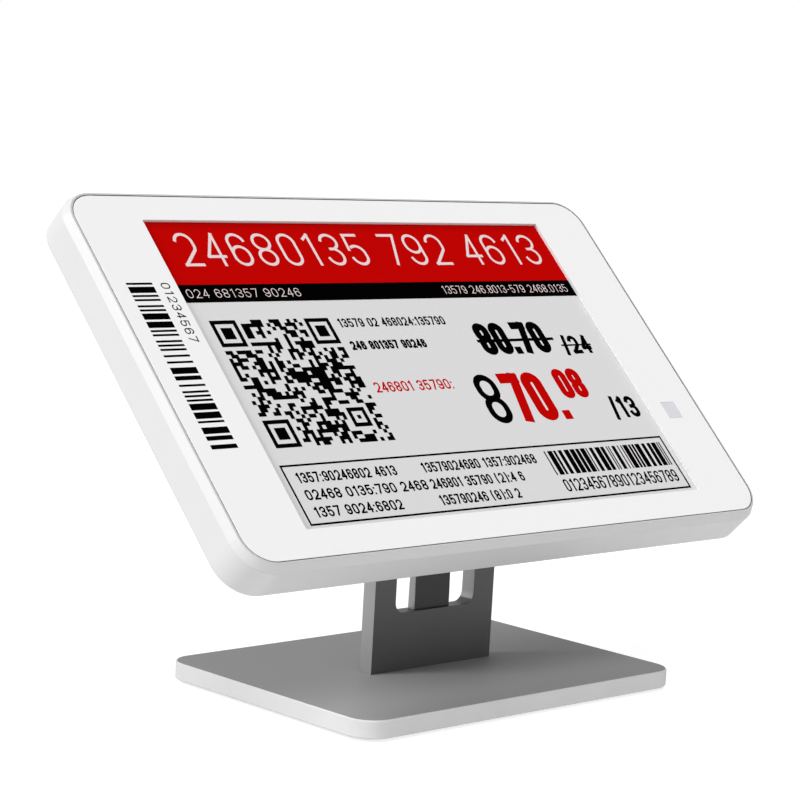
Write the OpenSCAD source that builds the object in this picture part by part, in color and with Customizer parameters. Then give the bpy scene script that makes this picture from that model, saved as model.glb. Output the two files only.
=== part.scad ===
// Electronic shelf label on a tilting desk stand.
// The origin is the centre of the pad's underside, +X is the label's right, +Y the back, +Z up.

/* [Base] */
// Width of the base plate, side to side
base_w = 171; // [150:0.5:200]
// Depth of the base plate, front to back
base_d = 117.5; // [100:0.5:140]
// Thickness of the base plate
base_h = 7; // [6.5:0.5:10]
// Corner radius of the base plate
base_r = 11; // [8:1:20]
// Chamfer round the base plate's edges
base_chamfer = 0.5; // [0.2:0.1:1.2]
// Thickness of the silicone pad under the base plate
pad_t = 1.2; // [0.8:0.1:2]
// Distance from the base plate's edge in to the pad's edge
pad_inset = 5; // [3:0.5:8]

/* [Upright] */
// Width of the upright plate
upright_w = 65.5; // [60:0.5:76]
// Thickness of the upright plate
upright_t = 6.6; // [6:0.1:8]
// Width of the U notch in the upright
notch_w = 43; // [40:0.5:46]
// Height of the notch's floor over the base plate
notch_floor_h = 23; // [16:0.2:30]
// Corner radius at the bottom of the notch
notch_r = 4.5; // [3:0.1:6]
// Outer diameter of the hinge knuckles
knuckle_d = 13; // [12:0.5:15]

/* [Friction finger] */
// Width of the finger
finger_w = 19; // [14:0.5:24]
// Thickness of the finger at its foot
finger_foot_t = 3.7; // [3:0.1:5]
// Thickness of the finger's neck
finger_neck_t = 2.3; // [1.8:0.1:2.8]
// Width of the saddle that cups the hinge barrel
finger_saddle_w = 5; // [4:0.2:5.4]

/* [Hinge] */
// Height of the hinge axis over the base plate
hinge_h = 79; // [74:0.1:100]
// Tilt of the label back from upright, in degrees
tilt = 45; // [10:1:80]
// Diameter of the hinge pin
pin_d = 4; // [3:0.1:5]
// Distance from the hinge axis to the label's back face
hinge_offset = 8; // [7.8:0.1:12]
// Distance from the hinge axis up the label to its centre
label_rise = 33.5; // [30:0.1:38]
// Thickness of the nylon washers
washer_t = 0.5; // [0.4:0.1:0.8]
// Width of the mount head's plate
head_w = 40; // [36:0.5:42]
// Height of the mount head's plate
head_h = 58; // [54:0.5:62]
// Thickness of the mount head's plate
head_t = 2.5; // [2:0.1:3]

/* [Case] */
// Border beside the display's visible area, to the label's side
side_border = 33.4; // [28:0.1:46]
// Clear space between the display's tail and the frame
tail_clear = 1.9; // [0.6:0.1:8]
// Thickness of the label
case_t = 17.6; // [17.6:0.1:22]
// Outer corner radius of the label
case_r = 14.5; // [12:0.5:18]
// Wall of the rear cover
case_wall = 2.2; // [1.8:0.1:2.4]
// Height of the front frame's outer band
band_h = 3.5; // [3.5:0.1:4.2]
// Draft of the front frame's outer band
band_draft = 1.6; // [0.1:0.05:2]
// Width of the rim between the outer wall and the front plate
rim_w = 2.65; // [2.4:0.05:3.2]
// Gap round the front plate
panel_gap = 0.35; // [0.2:0.05:0.5]

/* [Display] */
// Width of the display's visible area
view_w = 215.5; // [180:0.5:260]
// Height of the display's visible area
view_h = 143.7; // [120:0.1:170]
// Thickness of the front plate
panel_t = 1.2; // [1:0.1:1.4]
// Thickness of the adhesive ring
tape_t = 0.15; // [0.1:0.05:0.2]
// Thickness of the display's glass
glass_t = 1.2; // [1:0.1:1.3]
// Side of the square indicator window
lamp_side = 8.4; // [6:0.1:9]

/* [Battery] */
// Diameter of a coin cell
cell_d = 24.5; // [20:0.1:25]
// Thickness of a coin cell
cell_t = 5; // [3.2:0.1:5.2]
// Number of coin cells
cell_count = 4; // [2:2:4]
// Travel of the battery door before it lifts off
door_travel = 5; // [4:0.1:5.4]
// Thickness of the battery door
door_t = 1.8; // [1.4:0.1:2.4]

/* [Button] */
// Diameter of the pairing button
button_d = 5; // [4:0.1:6]
// Travel of the pairing button
button_travel = 0.6; // [0.4:0.1:0.7]

/* [Hidden] */
$fn = 96;

// Common clearances: close fit on a radius, plain gap between pieces, and the overrun of cuts
fit_gap = 0.05;
seat_gap = 0.15;
part_gap = 0.3;
over = 1;
edge_steps = 4;

// Heights of the stand
base_top = pad_t + base_h;
notch_floor_z = base_top + notch_floor_h;
hinge_z = base_top + hinge_h;
knuckle_r = knuckle_d / 2;
pin_r = pin_d / 2;

// Screws between base plate and upright
base_screw_d = 4;
base_screw_head_d = 7;
base_screw_head_h = 3.8;
base_screw_bite = 10;
base_screw_share = 0.31;

// Hinge pin head, nut and washers
pin_head_d = 7.6;
pin_head_h = 2.2;
pin_slot_w = 1.2;
pin_slot_h = 0.8;
washer_d = knuckle_d - over;
barrel_l = notch_w - 2 * washer_t - 2 * fit_gap;

// Friction finger
finger_tenon_w = 12;
finger_tenon_h = 7;
finger_shift_y = 0.25;
finger_saddle_h = 4;
finger_neck_rise = 26;

// Mount head, its screws and inserts
head_screw_d = 4;
head_screw_head_d = 7;
head_screw_head_h = 2.2;
head_screw_bite = 4.6;
head_screw_x = 14;
head_screw_y = 22;
head_corner_r = 5;
web_root_half = knuckle_r + over / 2;
web_tip_half = knuckle_r - 2 * over;
insert_d = 5.6;
insert_h = 5;
insert_boss_d = 8.6;
insert_boss_h = insert_h + over;

// Depths inside the label, counted from its back face
part_z = case_t - band_h;
panel_z = case_t - panel_t;
shelf_z = panel_z - tape_t;
glass_z = shelf_z - glass_t;
carrier_t = 1.2;
carrier_z = glass_z - carrier_t;
standoff_h = 1.6;
board_t = 1;
board_top = carrier_z - standoff_h;
board_z = board_top - board_t;

// Display glass: a narrow border on three sides and a ledge for the tail at the bottom
glass_border = 3.3;
glass_ledge = 8;
glass_w = view_w + 2 * glass_border;
glass_h = view_h + glass_border + glass_ledge;
glass_y = (glass_border - glass_ledge) / 2;
glass_clear = 0.3;
film_t = 0.3;
window_r = 0.6;

// Display tail, folded round the glass at the ledge
tail_w = 30;
tail_x = 34;
tail_t = tape_t;
tail_bend = 0.75;
tail_lap = 4;
tail_run = 17;
tail_y = glass_y - glass_h / 2 - tail_bend;
connector_w = tail_w + 4 * over;
connector_l = 5;
connector_h = 1.3;
tail_top = shelf_z + tail_t;
tail_low = board_top + connector_h / 2 - tail_t / 2;

// Outlines of the label, worked out from the display and its borders
spigot_t = 1;
spigot_h = 1.8;
frame_wall = case_wall + seat_gap + spigot_t;
case_w = view_w + 2 * side_border;
case_h = view_h + 2 * (glass_ledge + 2 * tail_bend + tail_clear + frame_wall);
back_round = 1.2;
lip_round = 0.3;
inner_w = case_w - 2 * case_wall;
inner_h = case_h - 2 * case_wall;
inner_r = case_r - case_wall;
frame_in_w = case_w - 2 * frame_wall;
frame_in_h = case_h - 2 * frame_wall;
frame_in_r = case_r - frame_wall;
panel_w = case_w - 2 * (rim_w + panel_gap);
panel_h = case_h - 2 * (rim_w + panel_gap);
panel_r = case_r - rim_w - panel_gap;
panel_edge = 0.2;

// Carrier behind the display
carrier_lap = 6.5;
carrier_w = glass_w + 2 * carrier_lap;
carrier_h = frame_in_h - 2 * part_gap;
carrier_r = 4;
stake_d = 2;
stake_head_d = 3.4;
stake_head_h = 0.6;
stake_inset = 3;
stake_x = carrier_w / 2 - stake_inset;
stake_shares = [-0.34, 0, 0.34];
rib_t = 1.2;

// Square indicator window, its light pipe and lamp, placed in the border beside the display
lamp_side_share = 0.389;
lamp_low_share = 0.218;
lamp_x = view_w / 2 + lamp_side_share * side_border;
lamp_y = -lamp_low_share * view_h;
lamp_fit = 0.1;
lamp_flange = 1;
lamp_flange_t = 0.8;
led_l = 1.6;
led_w = 0.8;
led_h = 0.6;
pipe_foot_d = 4;

// Row of coin cells
bay_y = 22;
cell_gap = 0.3;
cell_space = 2;
cell_pitch = cell_d + cell_space;
cell_row_l = cell_count * cell_pitch - cell_space;
cell_z = 0.6;

// Circuit board: an arm over the battery bay, and a wing from the middle to the lamp
arm_drop = 37;
arm_rise = 14;
arm_w = cell_row_l;
arm_low = bay_y - arm_drop;
arm_high = bay_y + arm_rise;
wing_left = 9;
wing_lap = 3.3;
wing_right = lamp_x + wing_lap;
wing_low = tail_y + tail_run - connector_l / 2 + over;
board_screw_d = 2;
board_screw_head_d = 3.6;
board_screw_head_h = 1.2;
standoff_d = 5;
board_screw_inset = 4.5;
board_screw_at = [
    [-arm_w / 2 + board_screw_inset, arm_low + board_screw_inset],
    [-arm_w / 2 + board_screw_inset, arm_high - board_screw_inset],
    [arm_w / 2 - board_screw_inset, arm_high - board_screw_inset],
    [wing_left + board_screw_inset, wing_low + board_screw_inset],
    [wing_right - 3 * board_screw_inset, wing_low + board_screw_inset]
];
// Chips on the wing: centre across, centre up, width and height as shares of the wing
chip_shares = [
    [0.30, 0.62, 0.085, 0.20], [0.44, 0.66, 0.060, 0.12], [0.57, 0.34, 0.090, 0.17],
    [0.16, 0.40, 0.045, 0.12], [0.44, 0.36, 0.050, 0.10], [0.30, 0.28, 0.030, 0.07],
    [0.88, 0.30, 0.045, 0.10]
];
chip_t = 1.4;

// Antenna at the wing's end
antenna_l = 20;
antenna_w = 6;
antenna_h = 4.4;
antenna_t = 0.4;
antenna_inset = 26;
antenna_drop = 7;
antenna_x = wing_right - antenna_inset;
antenna_y = arm_low - antenna_drop;

// Battery bay
bay_wall = 1.2;
bay_floor_t = 1.2;
spring_h = 1.4;
bay_floor_z = cell_z + cell_t + spring_h;
pocket_z = 3.9;
toe_w = 4;
toe_stem_t = 2;
toe_reach = 1.5;
toe_t = 1.1;
toe_clear = 0.5;
toe_low = -12;
toe_high = 2;
open_w = cell_row_l + 2 * (toe_clear + toe_stem_t + part_gap);
open_h = cell_d + 2 * toe_clear;
bay_w = open_w + 2 * (toe_reach + 3 * part_gap);
door_lap = 3.4;
door_w = open_w + 2 * door_lap;
door_h = open_h + 2 * door_lap;
door_r = 3;
door_round = 0.5;
contact_t = 0.3;
contact_w = 5;
contact_l = 11;
clip_w = 4;

// Marks in the back: an arrow in the door and a blank recess in the cover
mark_depth = 0.4;
arrow_w = 7;
arrow_h = 6;
tag_w = 64;
tag_h = 34;
tag_r = 2;
tag_side_share = 0.27;
tag_low_share = 0.3;

// Pairing button and its switch
button_inset = 32;
button_rise = 23;
button_x = wing_right - button_inset;
button_y = wing_low + button_rise;
button_dish = 0.3;
button_flange = 1;
button_flange_t = 0.8;
guide_share = 0.45;
guide_wall = 1.4;
switch_side = 6;
switch_h = 3;
switch_nub_d = 3;
switch_nub_h = 0.4;
switch_gap = button_travel + 2 * fit_gap;
nose_z = board_z - switch_h - switch_nub_h - switch_gap;
guide_h = guide_share * (nose_z - case_wall);

// Screws that close the case
case_screw_d = 2.6;
case_screw_head_d = 4.8;
case_screw_head_h = 2;
case_screw_sink = 3.2;
case_tower_d = 8;
case_tower_h = 6;
case_boss_d = 6;
case_screw_inset = 13.25;
case_screw_rise = 15.6;
case_screw_x = case_w / 2 - case_screw_inset;
case_screw_y = case_h / 2 - case_screw_rise;
case_screw_at = [for (x = [-case_screw_x, case_screw_x], y = [-case_screw_y, 0, case_screw_y]) [x, y]];

// Stiffening ribs in the rear cover
cover_rib_h = 3;
cover_rib_share = [-0.39, -0.26, 0.26, 0.39];
cover_rib_l_share = 0.8;

// Points of a rounded lower edge, from the bottom up, as inset and height
function low_round(e, z) = [
    for (i = [0 : edge_steps])
        let (a = 90 * i / edge_steps)
        [e * (1 - sin(a)), z + e * (1 - cos(a))]
];

// Points of a rounded upper edge, from the side up, as inset and height
function high_round(e, z) = [
    for (i = [0 : edge_steps])
        let (a = 90 * i / edge_steps)
        [e * (1 - cos(a)), z - e * (1 - sin(a))]
];

// Rectangle with round corners
module round_rect(w, h, r)
{
    square([w - 2 * r, h], center = true);
    square([w, h - 2 * r], center = true);
    for (x = [-1, 1], y = [-1, 1])
        translate([x * (w / 2 - r), y * (h / 2 - r)])
            circle(r);
}

// Slab with round corners from height z to height top
module slab(w, h, r, z, top)
{
    translate([0, 0, z])
        linear_extrude(top - z)
            round_rect(w, h, r);
}

// Slab with round corners whose edge follows a list of inset and height
module edged_slab(w, h, r, edge)
{
    last = len(edge) - 1;
    rotate([90, 0, 0])
        linear_extrude(h - 2 * r, center = true)
            polygon(concat(
                [for (p = edge) [w / 2 - p[0], p[1]]],
                [for (i = [last : -1 : 0]) [edge[i][0] - w / 2, edge[i][1]]]
            ));
    rotate([90, 0, 90])
        linear_extrude(w - 2 * r, center = true)
            polygon(concat(
                [for (p = edge) [h / 2 - p[0], p[1]]],
                [for (i = [last : -1 : 0]) [edge[i][0] - h / 2, edge[i][1]]]
            ));
    for (x = [-1, 1], y = [-1, 1])
        translate([x * (w / 2 - r), y * (h / 2 - r), 0])
            rotate_extrude()
                polygon(concat(
                    [[0, edge[0][1]]],
                    [for (p = edge) [r - p[0], p[1]]],
                    [[0, edge[last][1]]]
                ));
}

// Cylinder along X, centred
module rod_x(r, l)
{
    rotate([0, 90, 0])
        cylinder(r = r, h = l, center = true);
}

// Places the label's own frame, with Y up the label and Z out of its front, on the hinge
module on_label()
{
    translate([0, 0, hinge_z])
        rotate([90 - tilt, 0, 0])
            translate([0, label_rise, hinge_offset])
                children();
}

// Repeats its children at the four screws of the mount head, in the label's frame
module at_head_screws()
{
    for (x = [-head_screw_x, head_screw_x], y = [-head_screw_y, head_screw_y])
        translate([x, y - label_rise, 0])
            children();
}

// Repeats its children at the screws that close the case
module at_case_screws()
{
    for (p = case_screw_at)
        translate([p[0], p[1], 0])
            children();
}

// Repeats its children at the centre of each coin cell
module at_cells()
{
    for (i = [0 : cell_count - 1])
        translate([(i - (cell_count - 1) / 2) * cell_pitch, bay_y, 0])
            children();
}

// Silicone pad under the base plate
module base_pad()
{
    color("dimgray")
        slab(base_w - 2 * pad_inset, base_d - 2 * pad_inset, base_r - pad_inset, 0, pad_t);
}

// Foot plate with chamfered edges and two screw holes from below
module base_plate()
{
    edge = [
        [base_chamfer, pad_t],
        [0, pad_t + base_chamfer],
        [0, base_top - base_chamfer],
        [base_chamfer, base_top]
    ];
    color("silver")
        difference() {
            edged_slab(base_w, base_d, base_r, edge);
            for (s = [-1, 1])
                translate([s * base_screw_share * upright_w, 0, pad_t - over]) {
                    cylinder(d = base_screw_d + 2 * fit_gap, h = base_h + 2 * over);
                    cylinder(d = base_screw_head_d + 2 * part_gap, h = base_screw_head_h + part_gap + over);
                }
        }
}

// Two cap screws from below into the upright
module base_screws()
{
    socket_d = base_screw_d / 2;
    color("gray")
        for (s = [-1, 1])
            translate([s * base_screw_share * upright_w, 0, pad_t + part_gap])
                difference() {
                    union() {
                        cylinder(d = base_screw_head_d, h = base_screw_head_h);
                        cylinder(d = base_screw_d, h = base_h + base_screw_bite - 2 * part_gap);
                    }
                    translate([0, 0, -over])
                        cylinder(d = socket_d, h = over + base_screw_head_h / 2, $fn = 6);
                }
}

// Outline of the upright from the front, with its U notch
module upright_outline()
{
    difference() {
        translate([-upright_w / 2, base_top])
            square([upright_w, hinge_z - base_top]);
        translate([-notch_w / 2, notch_floor_z + notch_r])
            square([notch_w, hinge_z]);
        translate([-notch_w / 2 + notch_r, notch_floor_z])
            square([notch_w - 2 * notch_r, hinge_z]);
        for (s = [-1, 1])
            translate([s * (notch_w / 2 - notch_r), notch_floor_z + notch_r])
                circle(notch_r);
    }
}

// Upright plate with two knuckles for the hinge pin
module upright()
{
    leg_w = (upright_w - notch_w) / 2;
    color("darkgray")
        difference() {
            union() {
                rotate([90, 0, 0])
                    linear_extrude(upright_t, center = true)
                        upright_outline();
                for (s = [-1, 1])
                    translate([s * (upright_w - leg_w) / 2, 0, hinge_z])
                        rod_x(knuckle_r, leg_w);
            }
            translate([0, 0, hinge_z])
                rod_x(pin_r + fit_gap, upright_w + 2 * over);
            for (s = [-1, 1])
                translate([s * upright_w / 2, 0, hinge_z])
                    rod_x(pin_head_d / 2 + fit_gap, 2 * pin_head_h);
            for (s = [-1, 1])
                translate([s * base_screw_share * upright_w, 0, base_top - over])
                    cylinder(d = base_screw_d + 2 * fit_gap, h = base_screw_bite + over);
            translate([0, finger_shift_y, notch_floor_z - finger_tenon_h / 2])
                cube([
                    finger_tenon_w + 2 * fit_gap,
                    finger_neck_t + 2 * fit_gap,
                    finger_tenon_h + 2 * fit_gap
                ], center = true);
        }
}

// Side view of the finger: thick foot, curved neck and a saddle under the barrel
module finger_outline()
{
    top = hinge_z - knuckle_r;
    foot = finger_foot_t / 2;
    neck = finger_neck_t / 2;
    saddle = finger_saddle_w / 2;
    // Half thickness falls from the foot to the neck along a quarter cosine
    rise = [for (i = [0 : edge_steps]) i / edge_steps];
    front = [for (s = rise) [-neck - (foot - neck) * cos(90 * s), notch_floor_z + s * finger_neck_rise]];
    back = [for (s = rise) [neck + (foot - neck) * cos(90 * s), notch_floor_z + s * finger_neck_rise]];
    polygon(concat(
        front,
        [
            [-neck, top - finger_saddle_h],
            [-saddle, top - finger_saddle_h / 2],
            [-saddle, top + finger_saddle_h / 2],
            [saddle, top + finger_saddle_h / 2],
            [saddle, top - finger_saddle_h / 2],
            [neck, top - finger_saddle_h]
        ],
        [for (i = [edge_steps : -1 : 0]) back[i]]
    ));
}

// Finger that stands in the notch and bears up against the hinge barrel
module friction_finger()
{
    color("darkgray")
        difference() {
            union() {
                translate([0, finger_shift_y, 0])
                    rotate([90, 0, 90])
                        linear_extrude(finger_w, center = true)
                            finger_outline();
                translate([0, finger_shift_y, notch_floor_z - (finger_tenon_h - over) / 2])
                    cube([finger_tenon_w, finger_neck_t, finger_tenon_h + over], center = true);
            }
            translate([0, 0, hinge_z])
                rod_x(knuckle_r + part_gap, finger_w + 2 * over);
        }
}

// Shoulder pin with a slotted head
module hinge_pin()
{
    head_x = -upright_w / 2;
    color("lightgray")
        translate([0, 0, hinge_z])
            difference() {
                union() {
                    translate([fit_gap - pin_head_h / 4, 0, 0])
                        rod_x(pin_r, upright_w - pin_head_h / 2 - 2 * fit_gap);
                    translate([head_x + pin_head_h / 2, 0, 0])
                        rod_x(pin_head_d / 2, pin_head_h);
                }
                translate([head_x, 0, 0])
                    cube([2 * pin_slot_h, pin_slot_w, pin_head_d + over], center = true);
            }
}

// Round nut on the pin's far end
module hinge_nut()
{
    color("lightgray")
        translate([upright_w / 2 - pin_head_h / 2, 0, hinge_z])
            difference() {
                rod_x(pin_head_d / 2, pin_head_h);
                rod_x(pin_r + fit_gap, pin_head_h + 2 * over);
                for (s = [-1, 1])
                    translate([pin_head_h / 2, s * (pin_r + pin_head_d / 2) / 2, 0])
                        rod_x(pin_slot_h / 2, pin_head_h);
            }
}

// Nylon washers between the barrel and the knuckles
module hinge_washers()
{
    color("white")
        for (s = [-1, 1])
            translate([s * (notch_w - washer_t) / 2, 0, hinge_z])
                difference() {
                    rod_x(washer_d / 2, washer_t);
                    rod_x(pin_r + fit_gap, washer_t + 2 * over);
                }
}

// Plate, web and barrel that carry the label on the hinge
module mount_head()
{
    web = [
        [-web_root_half, -head_t],
        [web_root_half, -head_t],
        [web_tip_half, -hinge_offset],
        [-web_tip_half, -hinge_offset]
    ];
    color("darkgray")
        on_label()
            difference() {
                union() {
                    translate([0, -label_rise, 0])
                        slab(head_w, head_h, head_corner_r, -head_t, 0);
                    translate([0, -label_rise, 0])
                        rotate([90, 0, 90])
                            linear_extrude(head_w - 2 * over, center = true)
                                polygon(web);
                    translate([0, -label_rise, -hinge_offset])
                        rod_x(knuckle_r, barrel_l);
                }
                translate([0, -label_rise, -hinge_offset])
                    rod_x(pin_r + fit_gap, barrel_l + 2 * over);
                at_head_screws()
                    translate([0, 0, -head_t - over])
                        cylinder(d = head_screw_d + 2 * part_gap, h = head_t + 2 * over);
            }
}

// Pan head screws of the mount head
module mount_screws()
{
    color("gray")
        on_label()
            at_head_screws()
                difference() {
                    translate([0, 0, -head_t])
                        rotate_extrude()
                            polygon([
                                [0, -head_screw_head_h],
                                [head_screw_head_d / 4, -head_screw_head_h],
                                [head_screw_head_d / 2, -head_screw_head_h / 3],
                                [head_screw_head_d / 2, 0],
                                [head_screw_d / 2, 0],
                                [head_screw_d / 2, head_t + head_screw_bite],
                                [0, head_t + head_screw_bite]
                            ]);
                    for (a = [0, 90])
                        rotate([0, 0, a])
                            translate([0, 0, -head_t - head_screw_head_h])
                                cube([head_screw_head_d / 2, pin_slot_w / 2, head_screw_head_h], center = true);
                }
}

// Brass inserts in the rear cover's bosses
module mount_inserts()
{
    color("gold")
        on_label()
            at_head_screws()
                difference() {
                    cylinder(d = insert_d, h = insert_h);
                    translate([0, 0, -over])
                        cylinder(d = head_screw_d + 2 * fit_gap, h = insert_h + 2 * over);
                }
}

// Ribs, towers, bosses and bay that stand inside the rear cover
module cover_inside()
{
    for (s = cover_rib_share)
        translate([s * case_w, 0, case_wall + cover_rib_h / 2])
            cube([rib_t, cover_rib_l_share * case_h, cover_rib_h + over], center = true);
    at_case_screws()
        cylinder(d = case_tower_d, h = case_tower_h);
    at_head_screws()
        cylinder(d = insert_boss_d, h = insert_boss_h + over);
    translate([button_x, button_y, 0])
        cylinder(d = button_d + 2 * (seat_gap + guide_wall), h = case_wall + guide_h);
    translate([0, bay_y, 0])
        slab(bay_w + 2 * bay_wall, open_h + 2 * bay_wall, over, case_wall - over, bay_floor_z + bay_floor_t);
}

// Everything that is cut out of the rear cover
module cover_cuts()
{
    // Space of the bay over the cells' pockets, where the door's toes run
    translate([0, bay_y, 0])
        slab(bay_w, open_h, over / 2, case_wall, pocket_z);
    // Opening in the back wall, and the notches that let the toes out
    translate([0, bay_y, 0])
        slab(open_w, open_h, over / 2, -over, case_wall + over);
    for (s = [-1, 1], y = [toe_low, toe_high])
        translate([s * open_w / 2, bay_y + y + door_travel + toe_w / 2, case_wall / 2])
            cube([
                2 * (toe_reach + part_gap),
                toe_w + 2 * part_gap,
                case_wall + 2 * over
            ], center = true);
    at_cells() {
        translate([0, 0, case_wall])
            cylinder(d = cell_d + 2 * cell_gap, h = bay_floor_z - case_wall);
        // Slot for the leg of the centre spring
        translate([-contact_l / 2 + contact_t / 2, 0, bay_floor_z])
            cube([3 * contact_t, contact_w + 2 * part_gap, 2 * (bay_floor_t + over)], center = true);
        // Slot for the side clip
        translate([0, cell_d / 2 + cell_gap, pocket_z + bay_floor_z - over])
            cube([
                clip_w + 2 * part_gap,
                2 * (contact_t + cell_gap),
                2 * bay_floor_z
            ], center = true);
    }
    at_case_screws() {
        translate([0, 0, -over])
            cylinder(d = case_screw_head_d + 2 * part_gap, h = case_screw_sink + over);
        translate([0, 0, -over])
            cylinder(d = case_screw_d + 2 * part_gap, h = case_tower_h + 2 * over);
    }
    at_head_screws() {
        translate([0, 0, -over])
            cylinder(d = insert_d + 2 * fit_gap, h = insert_h + over);
        translate([0, 0, -over])
            cylinder(d = head_screw_d + 2 * fit_gap, h = insert_boss_h + over);
    }
    translate([button_x, button_y, -over])
        cylinder(d = button_d + 2 * seat_gap, h = case_wall + guide_h + 2 * over);
    // Blank recess for an owner's sticker
    translate([-tag_side_share * case_w, -tag_low_share * case_h, 0])
        slab(tag_w, tag_h, tag_r, -over, mark_depth);
}

// White moulded shell with towers, inserts' bosses, button guide and battery bay
module rear_cover()
{
    edge = concat(low_round(back_round, 0), [[0, part_z]]);
    color("white")
        on_label()
            difference() {
                union() {
                    difference() {
                        edged_slab(case_w, case_h, case_r, edge);
                        slab(inner_w, inner_h, inner_r, case_wall, part_z + over);
                    }
                    cover_inside();
                }
                cover_cuts();
            }
}

// Screws from behind that hold cover and frame together
module case_screws()
{
    shank = board_z - case_screw_sink;
    color("gray")
        on_label()
            at_case_screws()
                difference() {
                    union() {
                        translate([0, 0, case_screw_sink - case_screw_head_h])
                            cylinder(d = case_screw_head_d, h = case_screw_head_h);
                        translate([0, 0, case_screw_sink - over])
                            cylinder(d = case_screw_d, h = shank);
                    }
                    for (a = [0, 90])
                        rotate([0, 0, a])
                            translate([0, 0, case_screw_sink - case_screw_head_h])
                                cube([case_screw_d, pin_slot_w / 2, case_screw_head_h], center = true);
                }
}

// Rim of the label: outer band, shelf for the front plate, spigot and screw bosses
module front_frame()
{
    edge = concat(
        [[0, part_z]],
        [for (p = high_round(lip_round, case_t)) [p[0] + band_draft, p[1]]]
    );
    stake_h = carrier_t + fit_gap;
    color("white")
        on_label()
            difference() {
                union() {
                    difference() {
                        edged_slab(case_w, case_h, case_r, edge);
                        slab(frame_in_w, frame_in_h, frame_in_r, part_z - over, glass_z);
                    }
                    difference() {
                        slab(
                            inner_w - 2 * seat_gap, inner_h - 2 * seat_gap, inner_r - seat_gap,
                            part_z - spigot_h, part_z + over
                        );
                        slab(frame_in_w, frame_in_h, frame_in_r, part_z - spigot_h - over, glass_z);
                    }
                    at_case_screws()
                        translate([0, 0, case_tower_h])
                            cylinder(d = case_boss_d, h = glass_z - case_tower_h + over / 2);
                    for (s = [-1, 1], share = stake_shares)
                        translate([s * stake_x, share * carrier_h, 0]) {
                            translate([0, 0, glass_z - stake_h])
                                cylinder(d = stake_d, h = stake_h + over / 2);
                            translate([0, 0, glass_z - stake_h - stake_head_h])
                                cylinder(d = stake_head_d, h = stake_head_h);
                        }
                }
                slab(
                    panel_w + 2 * panel_gap, panel_h + 2 * panel_gap, panel_r + panel_gap,
                    shelf_z, case_t + over
                );
                translate([0, glass_y, 0])
                    slab(
                        glass_w + 2 * glass_clear, glass_h + 2 * glass_clear, over,
                        glass_z - over, case_t + over
                    );
                // Way through the shelf for the display's tail
                translate([tail_x, tail_y - tail_bend / 2, shelf_z])
                    cube([tail_w + 2 * over, 2 * tail_bend + over, 2 * glass_t + over], center = true);
                // Window of the light pipe
                translate([lamp_x, lamp_y, shelf_z])
                    cube([lamp_side, lamp_side, 2 * glass_t + over], center = true);
                at_case_screws()
                    translate([0, 0, case_tower_h - over])
                        cylinder(d = case_screw_d + 2 * fit_gap, h = board_top - case_tower_h + over);
            }
}

// Flush front plate with the display window and the small indicator window
module front_panel()
{
    edge = concat([[0, panel_z]], high_round(panel_edge, case_t));
    color("whitesmoke")
        on_label()
            difference() {
                edged_slab(panel_w, panel_h, panel_r, edge);
                slab(view_w, view_h, window_r, panel_z - over, case_t + over);
                translate([lamp_x, lamp_y, case_t])
                    cube([lamp_side, lamp_side, 2 * panel_t + over], center = true);
            }
}

// Ring of adhesive between the front plate and the frame and glass
module panel_tape()
{
    color("lightgray")
        on_label()
            difference() {
                slab(panel_w - 2 * over, panel_h - 2 * over, panel_r - over, shelf_z, panel_z);
                slab(view_w + over, view_h + over, window_r, shelf_z - over, panel_z + over);
                translate([lamp_x, lamp_y, shelf_z])
                    cube([lamp_side + over, lamp_side + over, 2 * over], center = true);
                translate([tail_x, tail_y, shelf_z])
                    cube([tail_w + 2 * over, 2 * (tail_lap + tail_bend) + over, 2 * over], center = true);
            }
}

// Display glass with the active film raised on it
module epaper_panel()
{
    color("gainsboro")
        on_label()
            union() {
                translate([0, glass_y, 0])
                    slab(glass_w, glass_h, window_r, glass_z, shelf_z - film_t);
                slab(view_w + over, view_h + over, window_r, shelf_z - film_t - tape_t, shelf_z);
                // Ledge strip that carries the tail's bond
                translate([0, glass_y - glass_h / 2 + tail_lap / 2, shelf_z - film_t / 2])
                    cube([glass_w - 2 * over, tail_lap, film_t], center = true);
            }
}

// Side view of the display's tail, folded round the glass to the board
module tail_outline()
{
    module bend(y, z, quarter)
    {
        translate([y, z])
            intersection() {
                difference() {
                    circle(tail_bend);
                    circle(tail_bend - tail_t);
                }
                translate([-tail_bend, quarter * tail_bend / 2 - tail_bend / 2])
                    square([tail_bend, tail_bend]);
            }
    }
    translate([tail_y, shelf_z])
        square([tail_bend + tail_lap, tail_t]);
    bend(tail_y, tail_top - tail_bend, 1);
    translate([tail_y - tail_bend, tail_low + tail_bend])
        square([tail_t, tail_top - tail_low - 2 * tail_bend]);
    bend(tail_y, tail_low + tail_bend, -1);
    translate([tail_y, tail_low])
        square([tail_run, tail_t]);
}

// Flexible tail of the display
module display_tail()
{
    color("peru")
        on_label()
            translate([tail_x, 0, 0])
                rotate([90, 0, 90])
                    linear_extrude(tail_w, center = true)
                        tail_outline();
}

// Connector that takes the end of the tail
module tail_connector()
{
    tail_end = tail_y + tail_run;
    color("ivory")
        on_label()
            difference() {
                translate([tail_x, tail_end, board_top + connector_h / 2])
                    cube([connector_w, connector_l, connector_h], center = true);
                translate([tail_x, tail_end - connector_l, tail_low + tail_t / 2])
                    cube([tail_w + part_gap, 2 * connector_l + 2 * fit_gap, tail_t + 2 * fit_gap], center = true);
            }
}

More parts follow.
